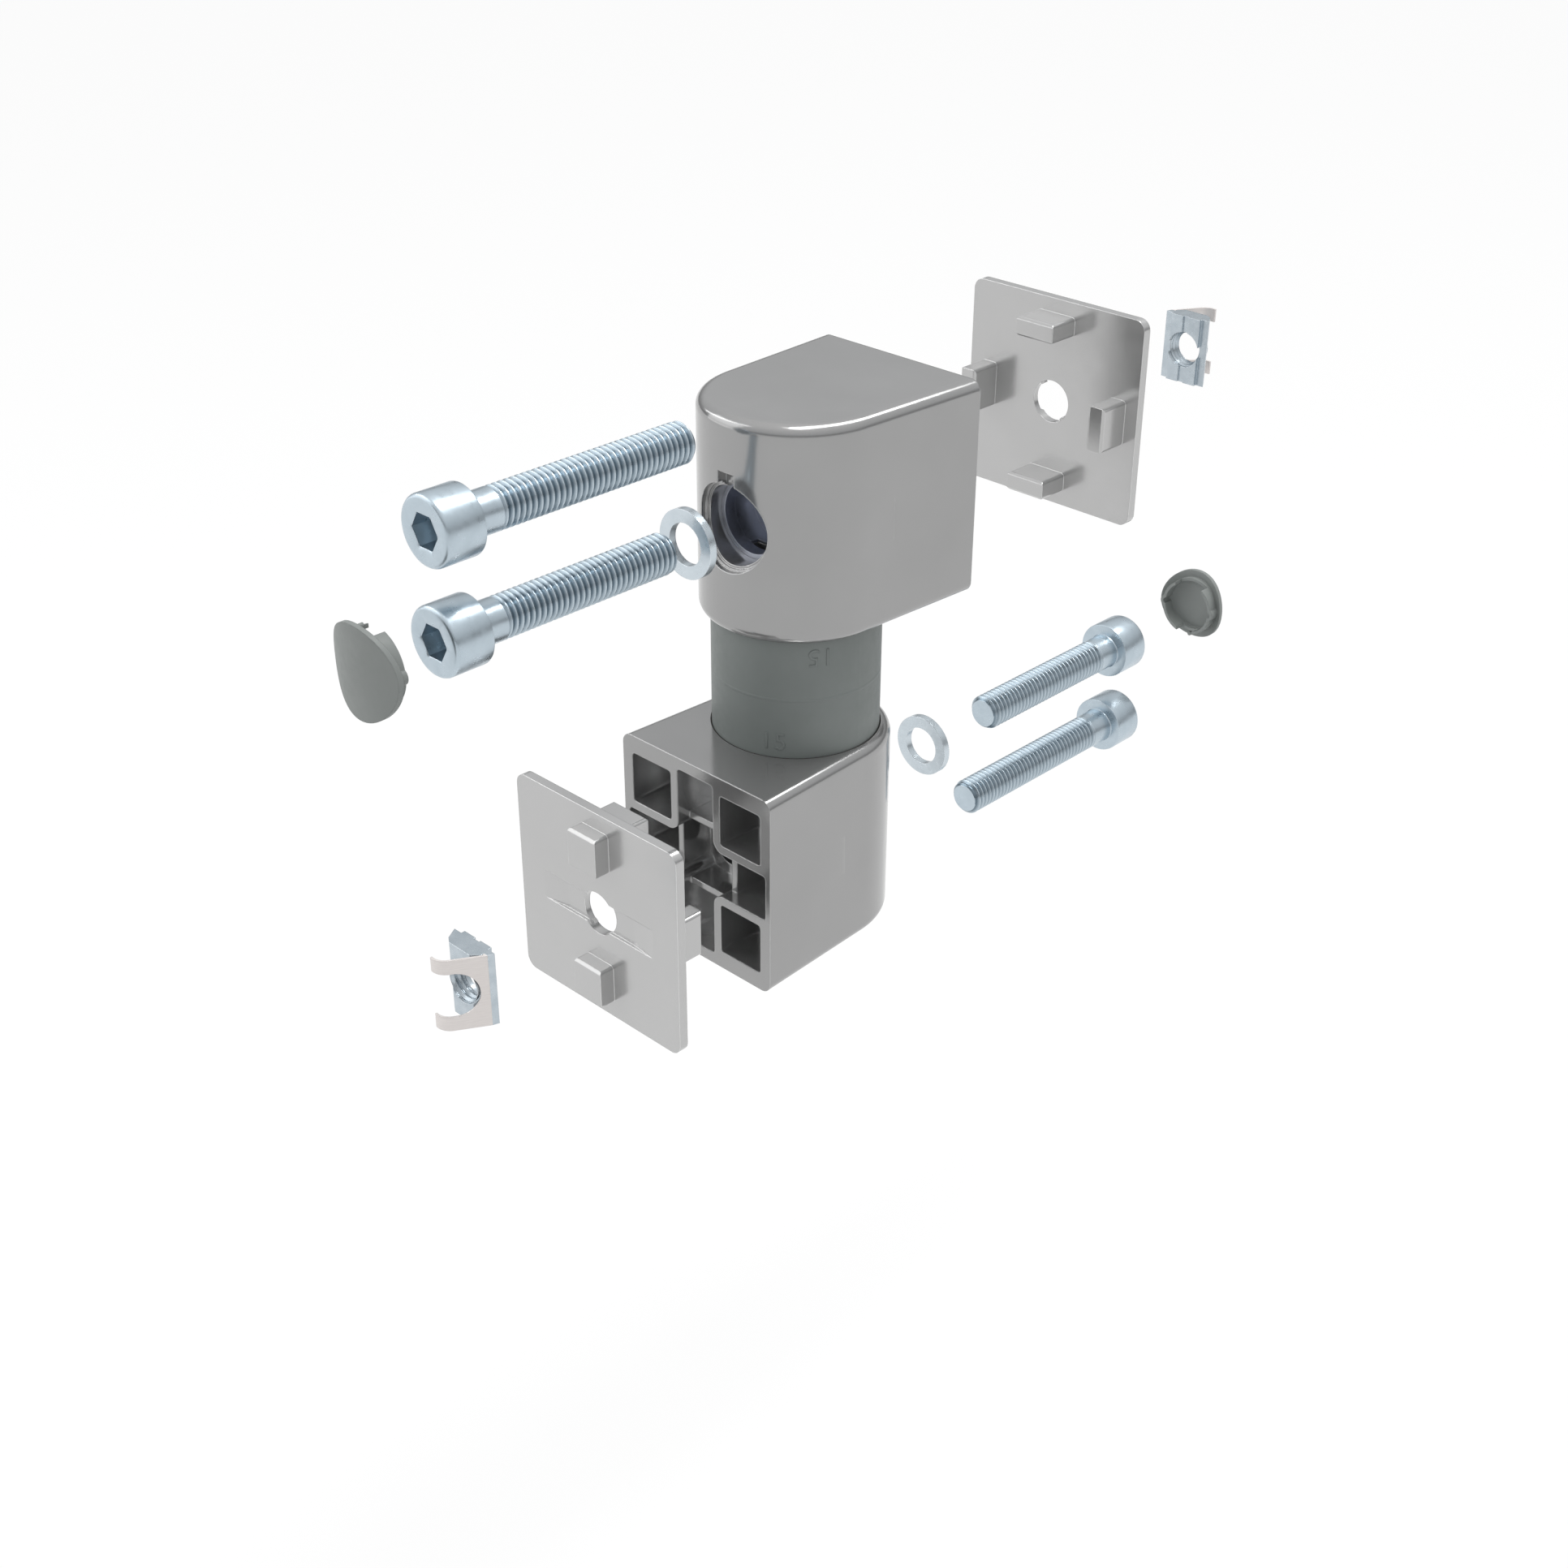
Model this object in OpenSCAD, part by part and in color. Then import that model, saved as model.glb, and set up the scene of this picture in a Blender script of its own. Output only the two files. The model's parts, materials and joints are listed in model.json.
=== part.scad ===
// Friction joint for square slotted profiles, drawn taken apart along its screw axes.
// The modules are written about the swivel: the swivel axis is Z, the swivel plane is z = 0
// and the upper housing looks along +Y. The lower half is the upper half turned about X.
// The module framed then puts the origin on the lower plate, where a profile carries the joint.
// Millimetres throughout.

/* [Plates] */
// Side of a plate, the same as the side of the profile that it covers
plate_side = 45; // [44:0.5:48]
// Thickness of a plate
plate_t = 2; // [1.6:0.1:3]
// Corner radius of a plate
plate_corner_r = 2.5; // [1.5:0.5:4]
// Screw hole in a plate
plate_hole_d = 9.2; // [8.6:0.1:10]
// How far the nibs stand into the screw hole
nib_reach = 0.45; // [0.2:0.05:0.5]
// Width of a nib
nib_w = 1; // [0.8:0.1:1.4]
// How far a lug reaches into the housing
lug_depth = 7.4; // [4:0.2:8]
// Thickness of a lug that enters the housing
lug_t = 4.1; // [3:0.1:4.6]
// Gap between a lug and its cell
lug_gap = 0.15; // [0.1:0.05:0.3]
// Radius of the upright edges of a lug
lug_r = 0.8; // [0.6:0.1:1.2]
// Width of a lug that enters the slot of the profile
slot_lug_w = 7.8; // [7:0.1:8]
// Height of a lug that enters the slot of the profile
slot_lug_h = 8.4; // [6:0.2:9]
// How far a slot lug stands off its plate
slot_lug_depth = 3.4; // [2:0.1:3.8]
// Height of the shallow channel beside the hole
channel_h = 6.4; // [5:0.2:7]
// Length of the shallow channel
channel_l = 31; // [26:1:34]
// Depth of the shallow channel
channel_depth = 0.7; // [0.4:0.1:1]

/* [Housings] */
// Height of a housing along the swivel axis
housing_h = 44; // [43:0.5:47]
// Radius of the round side
round_r = 19.25; // [18.75:0.25:20.5]
// Half of the width at the flat face
flat_half_w = 20.8; // [20.5:0.1:21.5]
// Distance from the swivel axis to the flat face
flat_y = 28.4; // [27:0.2:31]
// Fillet along the outer edges
edge_r = 2.4; // [1.5:0.1:2.6]
// Radius of the blind bore that takes the core
core_bore_r = 17.1; // [16.9:0.05:17.3]
// Depth of the blind bore that takes the core
core_bore_h = 29; // [27.5:0.5:34]
// Wall left around the core bore at the bottom of the cells
bore_wall = 1.8; // [1.4:0.1:2.4]

/* [Cell grid] */
// Width of the cells in the middle of each side
mid_cell_w = 10; // [8:0.2:10.4]
// Distance from the centre to the outer wall of a middle cell
mid_cell_reach = 19.5; // [19:0.1:19.6]
// Distance from the centre to the outer wall of a corner cell
corner_cell_reach = 18.1; // [17:0.1:18.6]
// Thickness of the walls around the corner cells
rib_t = 1.9; // [1.4:0.1:2.2]
// Half of the width of the centre cell
centre_cell_half = 7; // [6:0.2:7.4]
// Thickness of the cross ribs
cross_rib_t = 1.4; // [1:0.1:1.8]
// How far the cross ribs lie below the flat face
cross_rib_drop = 3.2; // [2:0.2:5]
// Fillet in the corners of the cells
cell_r = 0.8; // [0.4:0.1:1.2]
// Rounding of the walls of the corner cells towards the centre
rib_corner_r = 2.6; // [2:0.1:3]

/* [Screw passage] */
// Radius of the passage for screw head and seat sleeve
passage_r = 7.9; // [7.7:0.1:8.4]
// Wall of the boss around the passage
boss_wall = 1.5; // [1.2:0.1:2]
// Distance from the swivel axis to the face that carries the washer
seat_y = 4.5; // [4:0.1:5.5]
// Distance from the swivel axis to the open end of the seat sleeve
sleeve_front_y = 12.6; // [12:0.2:13.4]
// Radius inside the collar of the seat sleeve
sleeve_inner_r = 7; // [6.8:0.05:7.2]
// Length of the collar of the seat sleeve
collar_l = 2.8; // [2:0.2:3.4]
// Radius inside the seat sleeve behind its collar
sleeve_wide_r = 7.4; // [7.2:0.05:7.5]
// Bottom thickness of the seat sleeve
sleeve_floor = 1.4; // [1:0.1:1.8]
// Ledge of the boss behind the seat sleeve
ledge_t = 1.6; // [1.2:0.1:2.2]
// Clearance hole for the shank
shank_hole_r = 4.6; // [4.3:0.1:5]

/* [Core] */
// Radius of the core
core_r = 17; // [16.5:0.05:17]
// Distance from the swivel plane to the end of the core
core_end = 26; // [22:0.5:28]
// Radius inside the core
core_inner_r = 12.6; // [12.4:0.1:13.4]
// Thickness of the floor between the friction disc and the springs
core_floor = 4.6; // [4:0.1:5]
// Gap between the two core halves at the swivel plane
parting_gap = 0.1; // [0.05:0.05:0.3]
// Side clearance of the core notches
notch_gap = 0.25; // [0.15:0.05:0.5]

/* [Friction mechanism] */
// Radius of the pivot bolt
axle_r = 5; // [4:0.5:5.5]
// Radius of the flange of the pivot bolt
axle_head_r = 9; // [7.5:0.5:11]
// Thickness of the flange of the pivot bolt
axle_head_h = 2.6; // [2:0.2:4]
// Outer radius of the friction disc
friction_r = 13.5; // [11:0.5:15]
// Thickness of the friction disc
friction_t = 1.6; // [1:0.2:2.4]
// Outer radius of the thrust washer
thrust_r = 11.5; // [9:0.5:12]
// Thickness of the thrust washer
thrust_t = 1; // [0.6:0.1:1.4]
// Outer radius of a disc spring
spring_r = 10; // [8.5:0.5:11.5]
// Material thickness of a disc spring
spring_t = 0.8; // [0.6:0.1:1]
// Cone height of a disc spring
spring_cone = 0.5; // [0.3:0.1:0.7]
// Number of disc springs, stacked in turns
spring_count = 2; // [2:2:2]
// Width across flats of the lock nut
lock_nut_af = 15; // [13:1:17]
// Height of the lock nut
lock_nut_h = 2.4; // [2:0.1:2.6]
// Running clearance of the pivot bolt
axle_gap = 0.05; // [0.03:0.01:0.09]

/* [Screws and washers] */
// Radius of the screw shank
screw_r = 4; // [3.9:0.05:4.1]
// Radius of the screw head
head_r = 6.5; // [6.2:0.1:6.6]
// Height of the screw head
head_h = 8; // [7:0.2:8.4]
// Width across flats of the socket
socket_af = 6; // [5:0.5:7]
// Depth of the socket
socket_depth = 4; // [3:0.5:5]
// Shank length of the screws that belong in the joint
screw_l = 45; // [42:1:46]
// Shank length of the longer screws that lie beside them
spare_screw_l = 50; // [47:1:60]
// Distance between a fitted screw and the longer one beside it
spare_pitch = 20; // [16:1:24]
// Outer radius of the washers
washer_r = 6.8; // [6.5:0.1:6.8]
// Hole radius of the washers
washer_hole_r = 4.2; // [4.2:0.05:4.5]
// Thickness of the washers
washer_t = 1.6; // [1:0.1:2]

/* [Caps] */
// Radius of the face of a cap
cap_r = 8.7; // [8.6:0.1:9]
// Thickness of the face of a cap
cap_t = 1; // [0.8:0.1:1.3]
// Gap around the face of a cap in its recess
cap_gap = 0.15; // [0.1:0.05:0.3]
// Radius of the skirt
skirt_r = 7; // [6.8:0.1:7.2]
// Wall of the skirt
skirt_t = 0.75; // [0.6:0.05:0.8]
// Distance from the swivel axis to the rim of the skirt
skirt_end_y = 14.4; // [14.3:0.1:15]
// Radius of the snap lobes on both sides of the skirt
snap_r = 1.5; // [1.3:0.1:1.6]
// How far a snap lobe stands out from the skirt
snap_reach = 0.65; // [0.5:0.05:0.75]
// Width of the low stretch of the skirt beside the peg
peg_gap_w = 4.4; // [3:0.2:6]
// Width of the low stretch of the skirt away from the peg
skirt_gap_w = 7.6; // [6:0.2:9]
// Height of the skirt in its low stretches
skirt_low_h = 1.3; // [1:0.1:1.6]
// Radius of the locating peg behind the face of a cap
peg_r = 0.5; // [0.4:0.05:0.6]
// Distance from the middle of a cap to its peg
peg_at = 7.9; // [7.8:0.05:8]
// Length of the peg
peg_l = 1.3; // [1:0.1:2]
// Width of the prying notch above a cap
pry_w = 4.2; // [3:0.1:4.6]
// How far the prying notch reaches beyond the recess of the cap
pry_reach = 2.2; // [1.6:0.1:2.6]
// Depth of the prying notch
pry_depth = 2.4; // [1.8:0.1:2.8]
// Depth of the second step inside the recess of the cap
rim_step = 0.6; // [0.4:0.1:0.7]
// Width of the second step inside the recess of the cap
rim_step_w = 0.55; // [0.4:0.05:0.8]

/* [Slot nuts] */
// Width of a slot nut at its bearing face
nut_w = 11.6; // [11:0.2:13]
// Length of a slot nut along the slot
nut_l = 15.4; // [13:0.2:17]
// Thickness of a slot nut
nut_t = 3.5; // [3.4:0.1:5]
// Height of the raised strip that looks into the slot
nut_step = 0.85; // [0.6:0.05:1]
// Width of the raised strip that looks into the slot
nut_step_w = 7.7; // [7:0.1:7.9]
// Width of the groove along the middle of the raised strip
nut_groove_w = 1.5; // [1:0.1:2]
// Depth of the groove along the middle of the raised strip
nut_groove_depth = 0.4; // [0.2:0.1:0.6]
// Radius of the threaded hole
nut_hole_r = 4.05; // [4.02:0.01:4.1]
// Wall of the profile between the plate and the nut
profile_lip = 4.2; // [3.9:0.1:5]
// Thickness of the leaf of a nut spring
leaf_t = 0.4; // [0.3:0.05:0.5]
// Height of an arm of the leaf
leaf_arm_h = 3; // [2.6:0.1:3.2]
// Length of the straight run of the leaf
leaf_run = 7.1; // [6.6:0.1:8]
// Lean of the straight run against the back of the nut, in degrees
leaf_lean = 59; // [56:1:64]
// Radius of the curl at the end of an arm
leaf_curl_r = 3.2; // [2.6:0.1:3.6]
// Strip of the leaf left whole beside its root
leaf_strip = 1.7; // [1.2:0.1:1.8]

/* [Parts drawn apart] */
// How far each housing is drawn off its end of the core
lift = 11.9; // [11.2:0.1:14]
// Upper plate off its housing
upper_plate_out = 49.9; // [2:0.1:80]
// Lower plate off its housing
lower_plate_out = 24.1; // [2:0.1:80]
// Upper slot nut off its place in the profile
upper_nut_out = 92.9; // [85:0.1:120]
// Lower slot nut off its place in the profile
lower_nut_out = 49.4; // [46:0.1:80]
// Upper washer off its seat
upper_washer_out = 23.6; // [20:0.1:27]
// Lower washer off its seat
lower_washer_out = 35.2; // [20:0.1:39]
// Upper screws off their seats
upper_screw_out = 73.4; // [69:0.1:90]
// Lower screws off their seats
lower_screw_out = 99.7; // [85:0.1:110]
// Upper cap off its recess
upper_cap_out = 84; // [82:0.1:120]
// Lower cap off its recess
lower_cap_out = 125; // [118:0.1:160]

/* [Hidden] */
$fn = 96;

eps = 0.01;
far = 200;
// Free height between the two plates of the closed joint
plate_parting = 0.4;
// Height of the screw axis above the swivel plane when the joint is closed
axis_z = plate_side / 2 + plate_parting / 2;
housing_z0 = axis_z - housing_h / 2;
// Height of the screw axis as drawn, with the housing off the core
drawn_axis_z = axis_z + lift;

boss_r = passage_r + boss_wall;
sleeve_back_y = seat_y - sleeve_floor;
boss_end_y = sleeve_back_y - ledge_t;
bearing_y = seat_y + washer_t;
cap_recess_r = cap_r + cap_gap;
cap_recess_depth = cap_t + cap_gap;

lug_w = mid_cell_w - 2 * lug_gap;
lug_out = mid_cell_reach - lug_gap;
corner_cell_in = mid_cell_w / 2 + rib_t;
slot_lug_end = 19;
nib_angles = [48, 234];
nib_set_back = 0.2;
// How far the root of a lug reaches into its plate
lug_root = 0.5;
nut_y = flat_y + plate_t + profile_lip;
nut_back_half = nut_w / 4;
leaf_y = nut_y + 1.3;
leaf_root_x = -nut_w / 2 + 0.4;
leaf_tab_x = -nut_hole_r - 0.4;
leaf_cut_r = nut_l / 2 - leaf_arm_h;

// Friction stack above the swivel plane
disc_half = friction_t / 2;
face_gap = 0.05;
floor_top = disc_half + core_floor;
thrust_z = floor_top + face_gap;
springs_z = thrust_z + thrust_t;
spring_h = spring_t + spring_cone;
lock_nut_z = springs_z + spring_count * spring_h;
notch_r = boss_r + notch_gap;

plate_colour = [0.72, 0.72, 0.71];
housing_colour = [0.62, 0.62, 0.61];
core_colour = [0.40, 0.43, 0.42];
cap_colour = [0.46, 0.49, 0.48];
steel_colour = [0.75, 0.81, 0.85];
leaf_colour = [0.79, 0.75, 0.72];
dark_steel_colour = [0.42, 0.46, 0.52];

// Turns the upper half into the lower half
module turned() {
    rotate([180, 0, 0]) children();
}

// Cylinder along Y from y0 to y1 at the closed screw axis
module y_rod(r, y0, y1) {
    translate([0, y0, axis_z]) rotate([-90, 0, 0]) cylinder(r = r, h = y1 - y0);
}

// Square prism along Y with rounded corners of radius r, centred on the closed screw axis
module y_block(x0, x1, z0, z1, y0, y1, r) {
    translate([0, y1, axis_z])
        rotate([90, 0, 0])
            linear_extrude(height = y1 - y0)
                rounded_rect(x0, x1, z0, z1, r);
}

module rounded_rect(x0, x1, z0, z1, r) {
    translate([x0 + r, z0]) square([x1 - x0 - 2 * r, z1 - z0]);
    translate([x0, z0 + r]) square([x1 - x0, z1 - z0 - 2 * r]);
    for (x = [x0 + r, x1 - r], z = [z0 + r, z1 - r]) translate([x, z]) circle(r = r);
}

// Lean of the sides of a housing: each runs from the round side to the edge of the flat face
side_reach = sqrt(flat_half_w * flat_half_w + flat_y * flat_y);
side_a = atan2(flat_y, flat_half_w) - acos(round_r / side_reach);
side_l = sqrt(side_reach * side_reach - round_r * round_r) + 5;
function side_start(r) = r * [cos(side_a), sin(side_a)];
function side_end(r) = side_start(r) + side_l * [-sin(side_a), cos(side_a)];

// Footprint of a housing, set in by a distance
module footprint(inset) {
    r = round_r - inset;
    a = side_start(r);
    b = side_end(r);
    circle(r = r);
    polygon([a, b, [-b[0], b[1]], [-a[0], a[1]]]);
}

// Outer form of a housing with its long fillets, flat face at y = flat_y
module housing_block() {
    ring_r = round_r - edge_r;
    start = side_start(ring_r);
    intersection() {
        translate([-far / 2, -far / 2, housing_z0 - 1])
            cube([far, far / 2 + flat_y, housing_h + 2]);
        union() {
            translate([0, 0, housing_z0 + edge_r])
                linear_extrude(height = housing_h - 2 * edge_r) footprint(0);
            translate([0, 0, housing_z0])
                linear_extrude(height = housing_h) footprint(edge_r);
            for (z = [housing_z0 + edge_r, housing_z0 + housing_h - edge_r]) {
                translate([0, 0, z])
                    rotate_extrude() translate([ring_r, 0]) circle(r = edge_r);
                for (m = [0, 1])
                    mirror([m, 0, 0])
                        translate([start[0], start[1], z])
                            rotate([-90, 0, side_a])
                                cylinder(r = edge_r, h = side_l);
            }
        }
    }
}

// Thick upright tube that the cells leave standing round the core bore
module bore_tube() {
    translate([0, 0, housing_z0])
        cylinder(r = core_bore_r + bore_wall, h = housing_h);
}

// Cells of the flat face: four in the corners, four between them and one in the middle
module cell_grid() {
    deep = core_bore_r * 0.35;
    difference() {
        union() {
            for (sx = [0, 1], sz = [0, 1])
                mirror_cell(sx, sz)
                    y_block(corner_cell_in, corner_cell_reach, corner_cell_in,
                        corner_cell_reach, deep, flat_y + eps, cell_r);
            cross_cells(deep);
        }
        bore_tube();
    }
}

module mirror_cell(sx, sz) {
    translate([0, 0, axis_z])
        mirror([sx, 0, 0]) mirror([0, 0, sz])
            translate([0, 0, -axis_z]) children();
}

// The cross of middle cells, with the rounded corner walls and the sunk ribs left standing
module cross_cells(deep) {
    reach = mid_cell_reach;
    half = mid_cell_w / 2;
    rib = centre_cell_half;
    difference() {
        union() {
            y_block(-half, half, -reach, reach, deep, flat_y + eps, cell_r);
            y_block(-reach, reach, -half, half, deep, flat_y + eps, cell_r);
            for (sx = [0, 1], sz = [0, 1]) mirror_cell(sx, sz) inner_corner(half, rib, deep);
        }
        cross_ribs(rib, deep);
    }
}

// Widening of the centre cell between two middle cells, as far as the rounded corner wall
module inner_corner(half, rib, deep) {
    translate([0, flat_y + eps, axis_z])
        rotate([90, 0, 0])
            linear_extrude(height = flat_y + eps - deep)
                difference() {
                    square([half + rib_corner_r, half + rib_corner_r]);
                    translate([half + rib_corner_r, half + rib_corner_r])
                        circle(r = rib_corner_r);
                    translate([half + rib_corner_r, half])
                        square([far, far]);
                }
}

module cross_ribs(rib, deep) {
    top = flat_y - cross_rib_drop;
    for (s = [-1, 1]) {
        at = s * (rib + cross_rib_t / 2);
        y_block(at - cross_rib_t / 2, at + cross_rib_t / 2, -mid_cell_w, mid_cell_w,
            deep - 1, top, cross_rib_t / 4);
        y_block(-mid_cell_w, mid_cell_w, at - cross_rib_t / 2, at + cross_rib_t / 2,
            deep - 1, top, cross_rib_t / 4);
    }
}

// Seat for the curved cap: two steps below the round surface, a prying notch above them and
// a slit for the peg of the cap
module cap_recess() {
    curved_step(cap_recess_r, cap_recess_depth);
    curved_step(passage_r + rim_step_w, cap_recess_depth + rim_step);
    translate([-pry_w / 2, -round_r - 1, axis_z + peg_at])
        cube([pry_w, pry_depth + 1, cap_recess_r + pry_reach - peg_at]);
    translate([-peg_r - cap_gap, -round_r - 1, axis_z + passage_r - 1])
        cube([2 * (peg_r + cap_gap), peg_l + cap_t + 1.4, peg_at - passage_r + 1.7]);
}

// Round pocket in the screw direction whose floor follows the round side
module curved_step(r, depth) {
    difference() {
        y_rod(r, -round_r - 1, -round_r / 2);
        cylinder(r = round_r - depth, h = 2 * far, center = true);
    }
}

// Window in the wall of the passage, on the side of the swivel, with a stepped outline
module seat_window() {
    front = -sleeve_front_y + collar_l;
    wide = sleeve_wide_r * 0.57;
    translate([0, 0, axis_z - boss_r - 1])
        linear_extrude(height = boss_r + 1)
            polygon([[-wide, front], [-wide * 0.78, front + 0.7], [-wide * 0.76, front + 2.4],
                [-wide * 0.43, front + 3.2], [wide * 0.43, front + 3.2],
                [wide * 0.76, front + 2.4], [wide * 0.78, front + 0.7], [wide, front]]);
}

module housing_shape() {
    difference() {
        union() {
            difference() {
                housing_block();
                translate([0, 0, housing_z0 - 1])
                    cylinder(r = core_bore_r, h = core_bore_h + 1);
                cell_grid();
            }
            intersection() {
                y_rod(boss_r, -round_r, -boss_end_y);
                cylinder(r = (core_bore_r + round_r) / 2, h = far);
            }
        }
        cap_recess();
        y_rod(passage_r, -far, -sleeve_back_y);
        y_rod(shank_hole_r, -round_r, flat_y + 1);
        seat_window();
    }
}

// Steel cup pressed into the passage: it carries the washer and lines the head bore
module seat_sleeve_shape() {
    difference() {
        y_rod(passage_r, -sleeve_front_y, -sleeve_back_y);
        y_rod(sleeve_inner_r, -sleeve_front_y - 1, -seat_y);
        y_rod(sleeve_wide_r, -sleeve_front_y + collar_l, -seat_y);
        y_rod(shank_hole_r, -seat_y - 1, 0);
        seat_window();
    }
}

// One half of the core: a cup whose crown is notched for the boss and for the shank
module core_half_shape() {
    difference() {
        translate([0, 0, parting_gap / 2]) cylinder(r = core_r, h = core_end - parting_gap / 2);
        translate([0, 0, floor_top]) cylinder(r = core_inner_r, h = core_end);
        cylinder(r = friction_r + axle_gap, h = disc_half + face_gap);
        translate([0, 0, -1]) cylinder(r = axle_r + axle_gap, h = core_end);
        y_rod(notch_r, -far, -boss_end_y + notch_gap);
        translate([-notch_r, -far, axis_z])
            cube([2 * notch_r, far - boss_end_y + notch_gap, far]);
        y_rod(shank_hole_r, -far, far);
        translate([-shank_hole_r, -far, axis_z]) cube([2 * shank_hole_r, 2 * far, far]);
    }
}

// Bolt with its flange in the lower core half; the lock nut sits on its upper end
module pivot_bolt() {
    color(steel_colour) framed() {
        translate([0, 0, -floor_top - axle_head_h])
            cylinder(r = axle_head_r, h = axle_head_h);
        translate([0, 0, -floor_top]) cylinder(r = axle_r, h = floor_top + bolt_top);
    }
}
bolt_top = lock_nut_z + lock_nut_h;

module friction_disc() {
    color(dark_steel_colour) framed()
        difference() {
            translate([0, 0, -disc_half]) cylinder(r = friction_r, h = friction_t);
            translate([0, 0, -disc_half - 1]) cylinder(r = axle_r + axle_gap, h = friction_t + 2);
        }
}

module thrust_washer() {
    color(steel_colour) framed()
        translate([0, 0, thrust_z])
            difference() {
                cylinder(r = thrust_r, h = thrust_t);
                translate([0, 0, -1]) cylinder(r = axle_r + axle_gap, h = thrust_t + 2);
            }
}

// Conical spring washers, every second one turned over
module disc_springs() {
    color(steel_colour) framed()
        for (i = [0 : spring_count - 1])
            translate([0, 0, springs_z + i * spring_h])
                disc_spring(i % 2 == 0);
}

module disc_spring(inner_high) {
    inner = axle_r + axle_gap;
    rise = spring_cone;
    a = inner_high ? rise : 0;
    b = inner_high ? 0 : rise;
    rotate_extrude()
        polygon([[inner, a], [spring_r, b], [spring_r, b + spring_t], [inner, a + spring_t]]);
}

module lock_nut() {
    color(steel_colour) framed()
        translate([0, 0, lock_nut_z])
            difference() {
                cylinder(r = lock_nut_af / sqrt(3), h = lock_nut_h, $fn = 6);
                translate([0, 0, -1]) cylinder(r = axle_r + axle_gap, h = lock_nut_h + 2);
            }
}

// Lug of a plate, a block with rounded upright edges and chamfered free edges
module lug(w, t, depth) {
    chamfer = 0.5;
    intersection() {
        translate([-w / 2, 0, 0])
            rotate([90, 0, 90])
                linear_extrude(height = w)
                    polygon([[lug_root, 0], [-depth + chamfer, 0], [-depth, chamfer],
                        [-depth, t - chamfer], [-depth + chamfer, t], [lug_root, t]]);
        translate([0, 1, 0])
            rotate([90, 0, 0])
                linear_extrude(height = depth + 2) rounded_rect(-w / 2, w / 2, 0, t, lug_r);
    }
}

// Cover plate in its closed place, housing side at y = flat_y
module plate_shape() {
    difference() {
        union() {
            y_block(-plate_side / 2, plate_side / 2, -plate_side / 2, plate_side / 2,
                flat_y, flat_y + plate_t, plate_corner_r);
            for (a = [0 : 90 : 270])
                translate([0, flat_y, axis_z])
                    rotate([0, a, 0]) translate([0, 0, lug_out - lug_t]) lug(lug_w, lug_t, lug_depth);
            for (s = [0, 180])
                translate([0, flat_y + plate_t, axis_z])
                    rotate([0, s, 0])
                        translate([0, 0, slot_lug_end - slot_lug_h])
                            mirror([0, 1, 0]) lug(slot_lug_w, slot_lug_h, slot_lug_depth);
        }
        plate_channel();
        y_rod(plate_hole_d / 2, flat_y - 1, flat_y + plate_t + 1);
    }
    hole_nibs();
}

// Two small nibs that hold the screw in the hole of a plate while it is fitted
module hole_nibs() {
    inner_end = plate_hole_d / 2 - nib_reach;
    for (a = nib_angles)
        translate([0, flat_y + nib_set_back, axis_z])
            rotate([0, a, 0])
                translate([inner_end, 0, -nib_w / 2])
                    cube([nib_reach + 0.5, plate_t - channel_depth - 2 * nib_set_back, nib_w]);
}

// Shallow channel across the profile side, running out to nothing at both ends
module plate_channel() {
    y = flat_y + plate_t;
    ramp = 6;
    translate([0, 0, axis_z - channel_h / 2])
        linear_extrude(height = channel_h)
            polygon([[-channel_l / 2, y + 1], [-channel_l / 2, y],
                [-channel_l / 2 + ramp, y - channel_depth],
                [channel_l / 2 - ramp, y - channel_depth],
                [channel_l / 2, y], [channel_l / 2, y + 1]]);
}

module washer_shape() {
    difference() {
        y_rod(washer_r, -bearing_y, -seat_y);
        y_rod(washer_hole_r, -bearing_y - 1, -seat_y + 1);
    }
}

// Socket head cap screw with its bearing face on the washer
module screw_shape(shank_l) {
    chamfer = 0.5;
    translate([0, -bearing_y, axis_z])
        rotate([-90, 0, 0])
            difference() {
                rotate_extrude()
                    polygon([[0, -head_h], [head_r - chamfer, -head_h], [head_r, -head_h + chamfer],
                        [head_r, 0], [screw_r, 0], [screw_r, shank_l - chamfer],
                        [screw_r - chamfer, shank_l], [0, shank_l]]);
                translate([0, 0, -head_h - 1])
                    cylinder(r = socket_af / sqrt(3), h = socket_depth + 1, $fn = 6);
            }
}

// Snap cap: a curved face flush with the round side, a peg near its top and a skirt with a
// snap lobe on each side
module cap_shape() {
    inner_r = round_r - cap_t;
    difference() {
        intersection() {
            y_rod(cap_r, -far, -round_r / 2);
            cylinder(r = round_r, h = far);
        }
        cylinder(r = inner_r, h = 2 * far, center = true);
    }
    translate([0, 0, peg_at]) y_rod(peg_r, -inner_r - cap_t / 2, -inner_r + peg_l);
    difference() {
        intersection() {
            skirt_plan(0);
            cylinder(r = inner_r + cap_t / 2, h = far);
        }
        skirt_plan(skirt_t);
        skirt_gap(skirt_r, peg_gap_w);
        skirt_gap(-skirt_r, skirt_gap_w);
    }
}

// Space that leaves a low stretch of the skirt, w wide at the height z
module skirt_gap(z, w) {
    translate([0, 0, z])
        y_block(-w / 2, w / 2, -3, 3, skirt_low_h + cap_t - round_r, 1 - skirt_end_y, skirt_low_h);
}

// Plan of the skirt with its two lobes, set in by a distance
module skirt_plan(inset) {
    start = inset > 0 ? -round_r - 1 : -round_r;
    end = inset > 0 ? -skirt_end_y + 1 : -skirt_end_y;
    y_rod(skirt_r - inset, start, end);
    for (s = [-1, 1])
        translate([s * (skirt_r + snap_reach - snap_r), 0, 0]) y_rod(snap_r - inset, start, end);
}

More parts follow.
